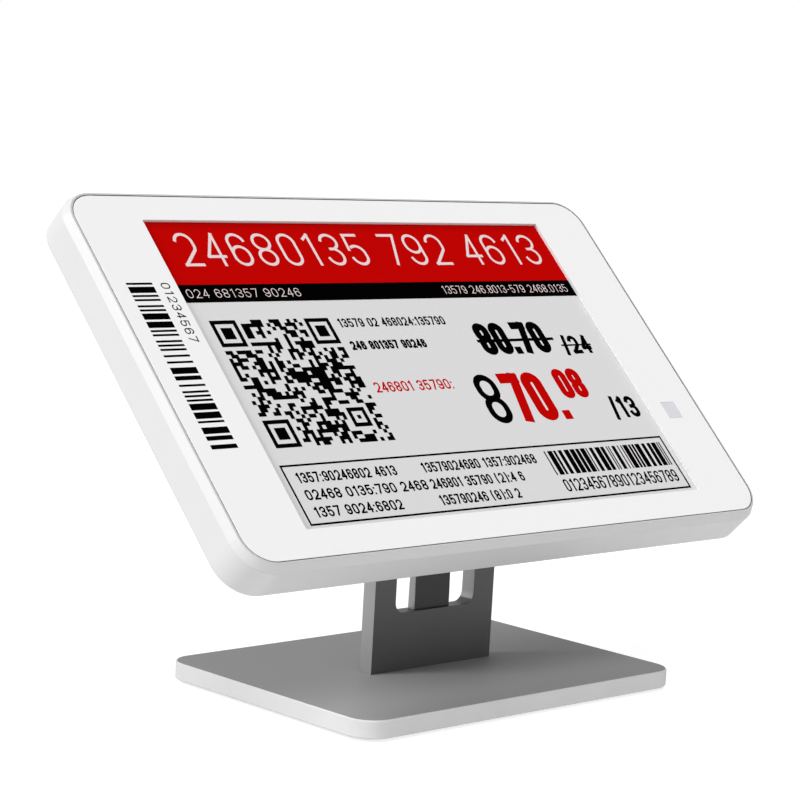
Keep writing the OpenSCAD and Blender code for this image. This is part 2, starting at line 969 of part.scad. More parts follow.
// Tray behind the display, staked to the frame, with standoffs for the board
module panel_carrier()
{
    color("dimgray")
        on_label()
            difference() {
                union() {
                    slab(carrier_w, carrier_h, carrier_r, carrier_z, glass_z);
                    for (p = board_screw_at)
                        translate([p[0], p[1], board_top])
                            cylinder(d = standoff_d, h = standoff_h + carrier_t / 2);
                }
                for (s = [-1, 1], share = stake_shares)
                    translate([s * stake_x, share * carrier_h, carrier_z - over])
                        cylinder(d = stake_d + 2 * seat_gap, h = carrier_t + 2 * over);
                for (p = board_screw_at)
                    translate([p[0], p[1], board_top - over])
                        cylinder(d = board_screw_d + 2 * fit_gap, h = standoff_h + carrier_t / 2 + over);
                // Notches for the tail and the light pipe
                translate([tail_x - tail_w / 2 - over, tail_y + tail_bend - carrier_h / 2, carrier_z - over])
                    cube([tail_w + 2 * over, carrier_h / 2, carrier_t + 2 * over]);
                translate([lamp_x, lamp_y, carrier_z])
                    cube([
                        lamp_side + 2 * (lamp_flange + part_gap),
                        lamp_side + 2 * (lamp_flange + part_gap),
                        2 * carrier_t + over
                    ], center = true);
            }
}

// Circuit board with an arm over the battery bay and a wing to the right
module main_board()
{
    color("seagreen")
        on_label()
            translate([0, 0, board_z])
                difference() {
                    linear_extrude(board_t)
                        union() {
                            translate([-arm_w / 2, arm_low])
                                square([arm_w, arm_high - arm_low]);
                            translate([wing_left, wing_low])
                                square([wing_right - wing_left, arm_low - wing_low + over]);
                        }
                    for (p = board_screw_at)
                        translate([p[0], p[1], -over])
                            cylinder(d = board_screw_d + 2 * seat_gap, h = board_t + 2 * over);
                }
}

// Screws that hold the board on the carrier's standoffs
module board_screws()
{
    bite = board_t + standoff_h;
    color("gray")
        on_label()
            for (p = board_screw_at)
                translate([p[0], p[1], board_z - board_screw_head_h]) {
                    cylinder(d = board_screw_head_d, h = board_screw_head_h);
                    cylinder(d = board_screw_d, h = board_screw_head_h + bite);
                }
}

// Chips, coil and memory on the back of the board
module board_chips()
{
    wing_w = wing_right - wing_left;
    wing_h = arm_low - wing_low;
    color("black")
        on_label()
            for (c = chip_shares)
                translate([wing_left + c[0] * wing_w, wing_low + c[1] * wing_h, board_z - chip_t / 2])
                    cube([c[2] * wing_w, c[3] * wing_h, chip_t], center = true);
}

// Bent metal antenna on the back of the board
module antenna()
{
    color("silver")
        on_label()
            translate([antenna_x, antenna_y, board_z - antenna_h]) {
                translate([-antenna_l / 2, -antenna_w / 2, 0])
                    cube([antenna_l, antenna_w, antenna_t]);
                for (x = [-antenna_l / 2, -antenna_l / 4])
                    translate([x, -antenna_w / 2, 0])
                        cube([antenna_w / 3, antenna_t, antenna_h]);
            }
}

// Coin cells in their pockets
module battery_cells()
{
    rim = 0.8;
    color("silver")
        on_label()
            at_cells()
                translate([0, 0, cell_z])
                    union() {
                        cylinder(d = cell_d, h = cell_t - rim);
                        cylinder(d = cell_d - 4 * rim, h = cell_t);
                    }
}

// Centre springs and side clips that feed the board
module battery_contacts()
{
    spring_top = cell_z + cell_t + fit_gap;
    base = bay_floor_z - fit_gap;
    lift = base - spring_top - contact_t;
    color("goldenrod")
        on_label()
            at_cells() {
                rotate([90, 0, 0])
                    linear_extrude(contact_w, center = true)
                        polygon([
                            [-contact_l / 2, base - contact_t],
                            [0, base - contact_t],
                            [contact_l / 3, base - contact_t - lift],
                            [contact_l / 2, base - contact_t - lift + contact_t],
                            [contact_l / 3 + contact_t, base - lift],
                            [contact_t, base],
                            [-contact_l / 2 + contact_t, base],
                            [-contact_l / 2 + contact_t, board_z],
                            [-contact_l / 2, board_z]
                        ]);
                translate([-clip_w / 2, cell_d / 2 + fit_gap, pocket_z + fit_gap])
                    cube([clip_w, contact_t, board_z - pocket_z - fit_gap]);
            }
}

// Sliding cover of the battery bay, with toes that hook under the back wall
module battery_door()
{
    edge = [for (p = low_round(door_round, -door_t - fit_gap)) p];
    stem_x = open_w / 2 - part_gap - toe_stem_t / 2;
    toe_top = case_wall + seat_gap + toe_t;
    grip_w = 16;
    grip_t = 1;
    grip_h = 0.5;
    color("white")
        on_label()
            translate([0, bay_y, 0]) {
                difference() {
                    edged_slab(door_w, door_h, door_r, concat(edge, [[0, -fit_gap]]));
                    // Arrow toward the side that the door slides to
                    translate([0, door_h / 4, -door_t - fit_gap - over])
                        linear_extrude(mark_depth + over)
                            polygon([[-arrow_w / 2, 0], [arrow_w / 2, 0], [0, arrow_h]]);
                }
                for (s = [-1, 1], y = [toe_low, toe_high]) {
                    translate([s * stem_x, y + toe_w / 2, toe_top / 2 - over / 2])
                        cube([toe_stem_t, toe_w, toe_top + over], center = true);
                    translate([s * (stem_x + toe_reach / 2), y + toe_w / 2, toe_top - toe_t / 2])
                        cube([toe_stem_t + toe_reach, toe_w, toe_t], center = true);
                }
                for (s = [-1, 1])
                    translate([0, s * cell_d / 5, cell_z / 2 - seat_gap - over / 2])
                        cube([door_w * 3 / 4, rib_t, cell_z + over], center = true);
                for (i = [0 : 4])
                    translate([0, -door_h / 3 + 2 * i * grip_t, -door_t - fit_gap])
                        cube([grip_w, grip_t, 2 * grip_h], center = true);
            }
}

// Button that reaches through the back to the switch
module pairing_button()
{
    flange_z = case_wall + guide_h + seat_gap;
    color("gray")
        on_label()
            translate([button_x, button_y, 0])
                rotate_extrude()
                    polygon([
                        [0, 2 * button_dish],
                        [button_d / 4, 1.5 * button_dish],
                        [button_d / 2 - button_dish, button_dish],
                        [button_d / 2, 2 * button_dish],
                        [button_d / 2, flange_z],
                        [button_d / 2 + button_flange, flange_z],
                        [button_d / 2 + button_flange, flange_z + button_flange_t],
                        [switch_nub_d / 2, flange_z + button_flange_t],
                        [switch_nub_d / 2, nose_z],
                        [0, nose_z]
                    ]);
}

// Switch under the button
module button_switch()
{
    color("black")
        on_label()
            translate([button_x, button_y, board_z - switch_h]) {
                translate([-switch_side / 2, -switch_side / 2, 0])
                    cube([switch_side, switch_side, switch_h]);
                translate([0, 0, -switch_nub_h])
                    cylinder(d = switch_nub_d, h = switch_nub_h + switch_h / 2);
            }
}

// Lamp under the light pipe
module status_led()
{
    color("white")
        on_label()
            translate([lamp_x - led_l / 2, lamp_y - led_w / 2, board_top])
                cube([led_l, led_w, led_h]);
}

// Frosted block that shows as the small square window
module light_pipe()
{
    side = lamp_side - 2 * lamp_fit;
    foot_z = board_top + led_h + seat_gap;
    color("lightgray")
        on_label()
            translate([lamp_x, lamp_y, 0]) {
                translate([-side / 2, -side / 2, glass_z - lamp_flange_t])
                    cube([side, side, case_t - glass_z + lamp_flange_t]);
                translate([-side / 2 - lamp_flange, -side / 2 - lamp_flange, glass_z - lamp_flange_t])
                    cube([side + 2 * lamp_flange, side + 2 * lamp_flange, lamp_flange_t]);
                translate([0, 0, foot_z])
                    cylinder(d = pipe_foot_d, h = glass_z - foot_z);
            }
}

base_pad();
base_plate();
base_screws();
upright();
friction_finger();
hinge_pin();
hinge_nut();
hinge_washers();
mount_head();
mount_screws();
mount_inserts();
rear_cover();
case_screws();
front_frame();
front_panel();
panel_tape();
epaper_panel();
display_tail();
tail_connector();
panel_carrier();
main_board();
board_screws();
board_chips();
antenna();
battery_cells();
battery_contacts();
battery_door();
pairing_button();
button_switch();
status_led();
light_pipe();
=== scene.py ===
"""Looks of the electronic shelf label: display image, prints, materials, light and camera."""

import math
import random

import bpy
from mathutils import Matrix, Vector


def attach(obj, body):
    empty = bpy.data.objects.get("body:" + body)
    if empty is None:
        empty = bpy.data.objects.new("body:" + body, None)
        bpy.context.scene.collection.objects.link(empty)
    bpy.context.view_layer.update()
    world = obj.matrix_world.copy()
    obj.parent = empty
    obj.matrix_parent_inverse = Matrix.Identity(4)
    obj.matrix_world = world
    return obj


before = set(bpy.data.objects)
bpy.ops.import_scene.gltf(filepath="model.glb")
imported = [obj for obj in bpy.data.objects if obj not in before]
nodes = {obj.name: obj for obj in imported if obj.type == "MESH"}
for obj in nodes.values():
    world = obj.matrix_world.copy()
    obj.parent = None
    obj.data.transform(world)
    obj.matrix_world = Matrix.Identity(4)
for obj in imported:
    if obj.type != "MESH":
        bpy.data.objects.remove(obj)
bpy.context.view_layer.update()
MM = 0.001

# The label's own frame: X right, Y up the label, Z out of its front, counted from its back face
HINGE_Z = 87.2 * MM
TILT = math.radians(45)
LABEL_RISE = 33.5 * MM
HINGE_OFFSET = 8 * MM
CASE_T = 17.6 * MM
label_frame = (
    Matrix.Translation((0, 0, HINGE_Z))
    @ Matrix.Rotation(math.pi / 2 - TILT, 4, "X")
    @ Matrix.Translation((0, LABEL_RISE, HINGE_OFFSET))
)
FRONT = tuple(label_frame.to_3x3() @ Vector((0, 0, 1)))
LABEL_MIDDLE = tuple(label_frame @ Vector((0, 0, CASE_T / 2)))

# The display: height of its film in the label's frame, its picture's size and its dots across
PANEL_T = 1.2 * MM
TAPE_T = 0.15 * MM
FILM_Z = CASE_T - PANEL_T - TAPE_T
VIEW_W = 215.5 * MM
VIEW_H = 143.7 * MM
DOTS_ACROSS = 960

# Ink: its thickness, its gap to what it lies on, and the lift of each further line of a sign
INK_T = 0.02 * MM
IMAGE_GAP = 0.01 * MM
PRINT_GAP = 0.005 * MM
LINE_LIFT = 0.004 * MM


# Camera, fitted to the corners of the label, the display and the base plate
def add_camera():
    focal_px = 2497.3
    image_px = 800
    sensor_mm = 36
    eye = (-0.68709, -0.69084, 0.22973)
    yaw = math.radians(43.899)
    pitch = math.radians(6.829)
    roll = math.radians(3.260)
    ahead = Vector((math.sin(yaw) * math.cos(pitch), math.cos(yaw) * math.cos(pitch), -math.sin(pitch)))
    level = Vector((math.cos(yaw), -math.sin(yaw), 0))
    upward = level.cross(ahead)
    right = math.cos(roll) * level + math.sin(roll) * upward
    up = math.cos(roll) * upward - math.sin(roll) * level
    data = bpy.data.cameras.new("camera")
    data.sensor_width = sensor_mm
    data.lens = focal_px * sensor_mm / image_px
    data.clip_start = 0.05
    data.clip_end = 100
    camera = bpy.data.objects.new("camera", data)
    turn = Matrix((right, up, -ahead)).transposed().to_4x4()
    camera.matrix_world = Matrix.Translation(eye) @ turn
    bpy.context.scene.collection.objects.link(camera)
    bpy.context.scene.camera = camera


# Materials. Noise scales are per metre, depth is in millimetres, and edge is a rounding in metres
def new_material(name):
    mat = bpy.data.materials.new(name)
    mat.use_nodes = True
    tree = mat.node_tree
    return mat, tree, tree.nodes["Principled BSDF"]


def grey(level):
    return (level, level, level)


# Links a node's output to an input, or sets the input to a value
def feed(tree, value, socket):
    if isinstance(value, bpy.types.NodeSocket):
        tree.links.new(value, socket)
    else:
        socket.default_value = value


def math_node(tree, operation, *values):
    node = tree.nodes.new("ShaderNodeMath")
    node.operation = operation
    for value, socket in zip(values, node.inputs):
        feed(tree, value, socket)
    return node.outputs["Value"]


def vector_node(tree, operation, first, second):
    node = tree.nodes.new("ShaderNodeVectorMath")
    node.operation = operation
    feed(tree, first, node.inputs[0])
    feed(tree, second, node.inputs[1])
    return node.outputs


def map_range(tree, value, before, after):
    span = tree.nodes.new("ShaderNodeMapRange")
    for name, limit in zip(("From Min", "From Max", "To Min", "To Max"), (*before, *after)):
        span.inputs[name].default_value = limit
    tree.links.new(value, span.inputs["Value"])
    return span.outputs["Result"]


def place(tree, kind="Object"):
    return tree.nodes.new("ShaderNodeTexCoord").outputs[kind]


def noise(tree, vector, scale, detail=2.0, rough=0.5):
    tex = tree.nodes.new("ShaderNodeTexNoise")
    tex.inputs["Scale"].default_value = scale
    tex.inputs["Detail"].default_value = detail
    tex.inputs["Roughness"].default_value = rough
    tree.links.new(vector, tex.inputs["Vector"])
    return tex.outputs["Fac"]


# The middle of a noise's values, spread over a whole range
def spread(tree, factor, low, high):
    return map_range(tree, factor, (0.3, 0.7), (low, high))


# Each colour is three numbers or another node's output
def mix_colors(tree, factor, first, second):
    mix = tree.nodes.new("ShaderNodeMix")
    mix.data_type = "RGBA"
    tree.links.new(factor, mix.inputs["Factor"])
    for name, color in (("A", first), ("B", second)):
        value = color if isinstance(color, bpy.types.NodeSocket) else (*color, 1)
        feed(tree, value, mix.inputs[name])
    return mix.outputs["Result"]


def add_bump(tree, shader, height, strength, distance, edge=0.0):
    bump = tree.nodes.new("ShaderNodeBump")
    bump.inputs["Strength"].default_value = strength
    bump.inputs["Distance"].default_value = distance
    tree.links.new(height, bump.inputs["Height"])
    if edge:
        bevel = tree.nodes.new("ShaderNodeBevel")
        bevel.samples = 6
        bevel.inputs["Radius"].default_value = edge
        tree.links.new(bevel.outputs["Normal"], bump.inputs["Normal"])
    tree.links.new(bump.outputs["Normal"], shader.inputs["Normal"])


def moulded(name, color, rough=0.4, grain=2600, depth=0.012, level=0.4, tone=0.015, edge=0.0):
    mat, tree, shader = new_material(name)
    spot = place(tree)
    darker = [c * (1 - tone) for c in color]
    cloud = spread(tree, noise(tree, spot, 60, 3), 0, 1)
    tree.links.new(mix_colors(tree, cloud, darker, color), shader.inputs["Base Color"])
    fine = noise(tree, spot, grain, 2)
    tree.links.new(spread(tree, fine, rough - 0.04, rough + 0.04), shader.inputs["Roughness"])
    shader.inputs["Specular IOR Level"].default_value = level
    add_bump(tree, shader, fine, 0.25, depth * MM, edge)
    return mat


def metal(name, color, rough=0.35, grain=4000, depth=0.01, stretch=(1, 1, 1), tone=0.04, edge=0.0):
    mat, tree, shader = new_material(name)
    spot = place(tree)
    mapping = tree.nodes.new("ShaderNodeMapping")
    mapping.inputs["Scale"].default_value = stretch
    tree.links.new(spot, mapping.inputs["Vector"])
    darker = [c * (1 - tone) for c in color]
    cloud = spread(tree, noise(tree, spot, 45, 4, 0.6), 0, 1)
    tree.links.new(mix_colors(tree, cloud, darker, color), shader.inputs["Base Color"])
    fine = noise(tree, mapping.outputs["Vector"], grain, 3)
    tree.links.new(spread(tree, fine, rough - 0.05, rough + 0.05), shader.inputs["Roughness"])
    shader.inputs["Metallic"].default_value = 1
    add_bump(tree, shader, fine, 0.3, depth * MM, edge)
    return mat


# How far a face looks along a direction: 0 below the low cosine, 1 above the high one
def facing(tree, direction, low, high, both_ways=False):
    cosine = vector_node(tree, "DOT_PRODUCT", place(tree, "Normal"), direction)["Value"]
    if both_ways:
        cosine = math_node(tree, "ABSOLUTE", cosine)
    return map_range(tree, cosine, (low, high), (0, 1))


# Blasted aluminium plate with painted light and shade: faces that look along the axis take one colour
# and the rest another, a lit and a shaded copy of the same metal standing in for how the light falls on
# each side
def plate_painted_light_shade(name, axis, face, side, rough, edge, metallic=0.6, level=0.2, tone=0.06):
    mat, tree, shader = new_material(name)
    spot = place(tree)
    cloud = spread(tree, noise(tree, spot, 35, 4, 0.6), 0, 1)
    darker = [c * (1 - tone) for c in side]
    rest = mix_colors(tree, cloud, darker, side)
    # Painted light and shade: faces within about 40 degrees of the axis take the one colour, so 45
    # degree chamfers keep the other
    along = facing(tree, axis, 0.75, 0.85, both_ways=True)
    tree.links.new(mix_colors(tree, along, rest, face), shader.inputs["Base Color"])
    grit = noise(tree, spot, 3200, 4, 0.7)
    tree.links.new(spread(tree, grit, rough - 0.08, rough + 0.08), shader.inputs["Roughness"])
    shader.inputs["Metallic"].default_value = metallic
    shader.inputs["Specular IOR Level"].default_value = level
    add_bump(tree, shader, grit, 0.35, 0.02 * MM, edge)
    return mat


# 1 on faces that look away from the label's middle, or toward it with the other sign
def away_from_middle(tree, sign):
    arm = vector_node(tree, "SUBTRACT", place(tree), LABEL_MIDDLE)["Vector"]
    outward = vector_node(tree, "DOT_PRODUCT", place(tree, "Normal"), arm)["Value"]
    signed = math_node(tree, "MULTIPLY", outward, sign)
    return math_node(tree, "GREATER_THAN", signed, 0)


# White moulding with another grey on faces looking to the front, and painted shade on the walls of the
# gap round the front plate
def front_tone_and_painted_gap_shade(name, color, gap, gap_side, front, cosines, rough):
    mat = moulded(name, color, rough=rough)
    tree = mat.node_tree
    shader = tree.nodes["Principled BSDF"]
    plain = shader.inputs["Base Color"].links[0].from_socket
    # Painted shade: the gap's walls take the near black gap colour where the gap's shade falls
    painted_shade_walls = mix_colors(tree, away_from_middle(tree, gap_side), plain, gap)
    toned = mix_colors(tree, facing(tree, FRONT, *cosines), painted_shade_walls, front)
    tree.links.new(toned, shader.inputs["Base Color"])
    return mat


def electronic_paper():
    mat, tree, shader = new_material("epaper_film")
    spot = place(tree)
    darker = (0.66, 0.65, 0.66)
    lighter = (0.7, 0.69, 0.7)
    grit = noise(tree, spot, 9000, 2)
    film = mix_colors(tree, spread(tree, grit, 0, 1), darker, lighter)
    tree.links.new(film, shader.inputs["Base Color"])
    tree.links.new(spread(tree, noise(tree, spot, 5000, 2), 0.42, 0.5), shader.inputs["Roughness"])
    shader.inputs["Specular IOR Level"].default_value = 0.25
    add_bump(tree, shader, grit, 0.15, 0.005 * MM)
    return mat


def ink(name, color, rough=0.45, tone=0.08):
    mat, tree, shader = new_material(name)
    spot = place(tree)
    lighter = [c * (1 + tone) for c in color]
    grit = spread(tree, noise(tree, spot, 8000, 2), 0, 1)
    tree.links.new(mix_colors(tree, grit, color, lighter), shader.inputs["Base Color"])
    fine = noise(tree, spot, 5000, 2)
    tree.links.new(spread(tree, fine, rough - 0.05, rough + 0.05), shader.inputs["Roughness"])
    shader.inputs["Specular IOR Level"].default_value = 0
    return mat


def circuit_board():
    mat, tree, shader = new_material("board_mask")
    spot = place(tree)
    brick = tree.nodes.new("ShaderNodeTexBrick")
    brick.inputs["Scale"].default_value = 180
    brick.inputs["Mortar Size"].default_value = 0.012
    brick.inputs["Color1"].default_value = (0.02, 0.19, 0.09, 1)
    brick.inputs["Color2"].default_value = (0.02, 0.17, 0.08, 1)
    brick.inputs["Mortar"].default_value = (0.05, 0.34, 0.17, 1)
    tree.links.new(spot, brick.inputs["Vector"])
    tree.links.new(brick.outputs["Color"], shader.inputs["Base Color"])
    tree.links.new(spread(tree, noise(tree, spot, 900), 0.28, 0.4), shader.inputs["Roughness"])
    add_bump(tree, shader, brick.outputs["Fac"], 0.3, 0.02 * MM)
    return mat


def frosted(name, color):
    mat, tree, shader = new_material(name)
    spot = place(tree)
    haze = noise(tree, spot, 1500, 3)
    light = [min(1, c * 1.05) for c in color]
    tree.links.new(mix_colors(tree, spread(tree, haze, 0, 1), color, light), shader.inputs["Base Color"])
    tree.links.new(spread(tree, haze, 0.3, 0.4), shader.inputs["Roughness"])
    shader.inputs["Subsurface Weight"].default_value = 0.3
    shader.inputs["Subsurface Scale"].default_value = 0.5 * MM
    return mat


def paint_nodes():
    up = (0, 0, 1)
    across = (1, 0, 0)
    # Painted shade for the gap round the front plate: the panel's outer edges and the rim's inner walls
    # take this near black
    gap = grey(0.1)
    white = moulded("case_moulding", grey(0.62), rough=0.42, edge=0.25 * MM)
    panel = front_tone_and_painted_gap_shade("panel_sheet", grey(0.72), gap, 1, grey(0.86), cosines=(0.3, 0.6), rough=0.35)
    rim = front_tone_and_painted_gap_shade("rim_moulding", grey(0.62), gap, -1, grey(0.54), cosines=(0.75, 0.9), rough=0.42)
    # Foot plate, one metal: its top is painted darker for the shade under the label, and its sides and
    # chamfers lighter, a painted highlight along its edges
    silver = plate_painted_light_shade(
        "satin_base_painted_light_shade", up, (0.31, 0.31, 0.313), grey(0.64), 0.5, 0.15 * MM, metallic=0.12, level=0
    )
    # Upright, one metal: faces looking left and right painted light, front, back and notch floor painted
    # dark for the shade under the label
    stand = plate_painted_light_shade("upright_painted_light_shade", across, grey(0.36), (0.11, 0.11, 0.113), 0.5, 0.3 * MM)
    # Tongue, the upright's metal: its front painted still darker for the shade it stands in under the
    # label and inside the notch
    tongue = plate_painted_light_shade("tongue_painted_shade", across, grey(0.4), (0.056, 0.056, 0.058), 0.5, 0.3 * MM)
    cast = metal("cast_head", (0.16, 0.16, 0.165), rough=0.5, grain=2200, depth=0.03, edge=0.3 * MM)
    steel = metal("screw_steel", (0.58, 0.58, 0.59), rough=0.28, grain=5000, edge=0.15 * MM)
    nickel = metal("nickel_spring", (0.66, 0.63, 0.56), rough=0.25)
    cell = metal("cell_can", grey(0.68), rough=0.2, stretch=(1, 8, 1), edge=0.3 * MM)
    button = moulded("button_rubber", (0.27, 0.27, 0.28), rough=0.6, grain=1500, depth=0.03)
    finishes = {
        "base_pad": moulded("pad_silicone", (0.035, 0.035, 0.037), rough=0.7, grain=1500, depth=0.03),
        "base_plate": silver,
        "base_screws": steel,
        "upright": stand,
        "friction_finger": tongue,
        "hinge_pin": steel,
        "hinge_nut": steel,
        "hinge_washers": moulded("nylon_washer", (0.8, 0.8, 0.77), rough=0.5),
        "mount_head": cast,
        "mount_screws": steel,
        "mount_inserts": metal("brass_insert", (0.72, 0.5, 0.2), rough=0.3),
        "rear_cover": white,
        "case_screws": steel,
        "front_frame": rim,
        "front_panel": panel,
        "panel_tape": moulded("tape_foam", grey(0.7), rough=0.7, grain=900, depth=0.03),
        "epaper_panel": electronic_paper(),
        "display_tail": moulded("tail_polyimide", (0.5, 0.2, 0.04), rough=0.3, grain=1200),
        "tail_connector": moulded("connector_ivory", (0.75, 0.7, 0.58), rough=0.45),
        "panel_carrier": moulded("carrier_grey", (0.05, 0.05, 0.055), rough=0.5),
        "main_board": circuit_board(),
        "board_screws": steel,
        "board_chips": moulded("chip_epoxy", (0.015, 0.015, 0.016), rough=0.4, grain=3500),
        "antenna": nickel,
        "battery_cells": cell,
        "battery_contacts": nickel,
        "battery_door": moulded("door_moulding", grey(0.61), rough=0.45, edge=0.2 * MM),
        "pairing_button": button,
        "button_switch": moulded("switch_black", grey(0.02), rough=0.35),
        "status_led": frosted("lamp_lens", (0.85, 0.85, 0.7)),
        "light_pipe": frosted("pipe_frost", (0.66, 0.65, 0.68)),
    }
    for name, mat in finishes.items():
        for slot in nodes[name].material_slots:
            slot.material = mat


# Inks by the record's material slot
INKS = {
    "ink_black": ink("ink_black", grey(0.0006), tone=1),
    "ink_red": ink("ink_red", (0.48, 0.0015, 0.001)),
    "ink_white": ink("ink_white", (0.74, 0.62, 0.63)),
}


def turns_left(face, corners):
    points = [corners[i] for i in face]
    return sum(a[0] * b[1] - a[1] * b[0] for a, b in zip(points, points[1:] + points[:1])) > 0


# Flat artwork on the label: corners as x, y and a small lift, on a surface and given an ink's thickness
def add_sheet(name, corners, faces, slot, base_z):
    mesh = bpy.data.meshes.new(name)
    count = len(corners)
    low = [(x, y, base_z) for x, y, _ in corners]
    high = [(x, y, base_z + INK_T + lift) for x, y, lift in corners]
    faces = [face if turns_left(face, corners) else face[::-1] for face in faces]
    under = [face[::-1] for face in faces]
    over = [[i + count for i in face] for face in faces]
    edges = {(first, second) for face in faces for first, second in zip(face, face[1:] + face[:1])}
    outer = sorted(pair for pair in edges if pair[::-1] not in edges)
    sides = [[first, second, second + count, first + count] for first, second in outer]
    mesh.from_pydata([tuple(label_frame @ Vector(p)) for p in low + high], [], under + over + sides)
    mesh.materials.append(INKS[slot])
    piece = bpy.data.objects.new(name, mesh)
    bpy.context.scene.collection.objects.link(piece)
    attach(piece, "label")


def boxes_sheet(name, boxes, slot, base_z):
    corners = []
    faces = []
    for left, low, right, high in boxes:
        start = len(corners)
        corners += [(left, low, 0), (right, low, 0), (right, high, 0), (left, high, 0)]
        faces.append([start, start + 1, start + 2, start + 3])
    add_sheet(name, corners, faces, slot, base_z)


# Path round a tall loop of unit width whose ends are half ellipses of height cap, by angle in degrees
def loop(low, high, cap, start, end):
    cap = min(cap, (high - low) / 2)
    steps = max(1, round(abs(end - start) / 15))
    path = []
    for i in range(steps + 1):
        angle = math.radians(start + (end - start) * i / steps)
        middle = high - cap if math.sin(angle) > 0 else low + cap
        path.append((0.5 + 0.5 * math.cos(angle), middle + cap * math.sin(angle)))
    return path


# Widths of the narrow signs, as shares of a digit's
NARROW_SHARES = {"1": 0.62, "/": 0.5, "-": 0.5, "(": 0.5, ")": 0.5, ".": 0.05, ":": 0.05, " ": 0.3}


# Centre lines of a plain digit or mark in a unit square
def centre_lines(sign, cap):
    lines = {
        "0": [loop(0, 1, cap, 7.5, 367.5)],
        "1": [[(0.2, 0.86), (0.75, 1)], [(0.75, 0), (0.75, 1)]],
        "2": [loop(0.35, 1, cap, 165, -30) + [(0, 0)], [(0, 0), (1, 0)]],
        "3": [loop(0.52, 1, cap, 165, -60), loop(0, 0.52, cap, 60, -165), [(0.4, 0.52), (0.7, 0.52)]],
        "4": [[(0.76, 0), (0.76, 1)], [(0.76, 1), (0, 0.27)], [(0, 0.27), (1, 0.27)]],
        "5": [[(0.9, 1), (0.08, 1)], [(0.08, 1), (0.02, 0.5)], loop(0, 0.62, cap, 120, -165)],
        "6": [loop(0, 1, cap, 15, 187.5), loop(0, 0.6, cap, 7.5, 367.5)],
        "7": [[(0, 1), (1, 1)], [(1, 1), (0.36, 0)]],
        "8": [loop(0.5, 1, cap, 7.5, 367.5), loop(0, 0.5, cap, 7.5, 367.5)],
        "9": [loop(0, 1, cap, 195, 367.5), loop(0.4, 1, cap, 7.5, 367.5)],
        "/": [[(0, -0.1), (1, 1.05)]],
        "-": [[(0.1, 0.42), (0.9, 0.42)]],
        "(": [loop(-0.1, 1.1, 1, 112.5, 247.5)],
        ")": [loop(-0.1, 1.1, 1, 67.5, -67.5)],
        ".": [[(0.4, 0), (0.6, 0)]],
        ":": [[(0.4, 0), (0.6, 0)], [(0.4, 0.66), (0.6, 0.66)]],
        " ": [],
    }
    return lines[sign]


def longer(path, extra):
    x0, y0 = path[-2]
    x1, y1 = path[-1]
    share = extra / math.dist(path[-2], path[-1])
    return path[:-1] + [(x1 + (x1 - x0) * share, y1 + (y1 - y0) * share)]


# A line of even thickness along a path, with square ends, added to the corners and faces
def ribbon(path, half, lift, corners, faces):
    closed = len(path) > 3 and math.dist(path[0], path[-1]) < half / 100
    if closed:
        path = path[:-1]
    else:
        path = longer(path[::-1], half)[::-1]
        path = longer(path, half)
    count = len(path)
    spans = count if closed else count - 1
    normals = []
    for i in range(spans):
        x0, y0 = path[i]
        x1, y1 = path[(i + 1) % count]
        length = math.dist(path[i], path[(i + 1) % count])
        normals.append(Vector(((y0 - y1) / length, (x1 - x0) / length)))
    start = len(corners)
    sharpest = 0.75
    for i, point in enumerate(path):
        before = normals[i - 1] if closed or i else normals[0]
        after = normals[i] if i < spans else normals[-1]
        middle = (before + after).normalized()
        shift = middle * half / max(sharpest, middle.dot(after))
        corners.append((point[0] - shift[0], point[1] - shift[1], lift))
        corners.append((point[0] + shift[0], point[1] + shift[1], lift))
    for i in range(spans):
        a = start + 2 * i
        b = start + 2 * ((i + 1) % count)
        faces.append([a, b, b + 1, a + 1])


# A row of plain digits, fitted into a box of the label's frame; down turns it to read from the top down
def digits(name, text, box, weight, gap, slot, base_z, down=False):
    left, low, right, high = mm_box(*box)
    weight = weight * MM
    least = weight / 100
    wide, tall = (high - low, right - left) if down else (right - left, high - low)
    rise = max(tall - weight, least)
    shares = [NARROW_SHARES.get(sign, 1) for sign in text]
    step = max(wide - weight * len(text), least) / (sum(shares) + gap * (len(text) - 1))
    cap = 0.5 * step / rise
    corners = []
    faces = []
    at = weight / 2
    for sign, share in zip(text, shares):
        for level, line in enumerate(centre_lines(sign, cap)):
            path = [(at + x * share * step, weight / 2 + y * rise) for x, y in line]
            if down:
                path = [(left + y, high - x) for x, y in path]
            else:
                path = [(left + x, low + y) for x, y in path]
            ribbon(path, weight / 2, level * LINE_LIFT, corners, faces)
        at += share * step + weight + gap * step
    add_sheet(name, corners, faces, slot, base_z)


def mm_box(*sides):
    return tuple(side * MM for side in sides)


def frame_boxes(left, low, right, high, line):
    return [
        (left, low, right, low + line),
        (left, high - line, right, high),
        (left, low + line, left + line, high - line),
        (right - line, low + line, right, high - line),
    ]


# Square code: a seeded random grid with the usual corner squares, which encodes nothing
def square_code(left, top, cell, count):
    draw = random.Random(5)
    dark = [[draw.random() < 0.5 for _ in range(count)] for _ in range(count)]

    def stamp(row, column, size):
        for i in range(-1, size + 1):
            for j in range(-1, size + 1):
                r = row + i
                c = column + j
                if 0 <= r < count and 0 <= c < count:
                    inside = 0 <= i < size and 0 <= j < size
                    depth = min(i, j, size - 1 - i, size - 1 - j)
                    dark[r][c] = inside and depth != 1

    stamp(0, 0, 7)
    stamp(0, count - 7, 7)
    stamp(count - 7, 0, 7)
    stamp(count - 9, count - 9, 5)
    boxes = []
    for r, row in enumerate(dark):
        c = 0
        while c < count:
            end = c
            while end < count and row[end]:
                end += 1
            if end > c:
                boxes.append((left + c * cell, top - (r + 1) * cell, left + end * cell, top - r * cell))
            c = end + 1
    return boxes


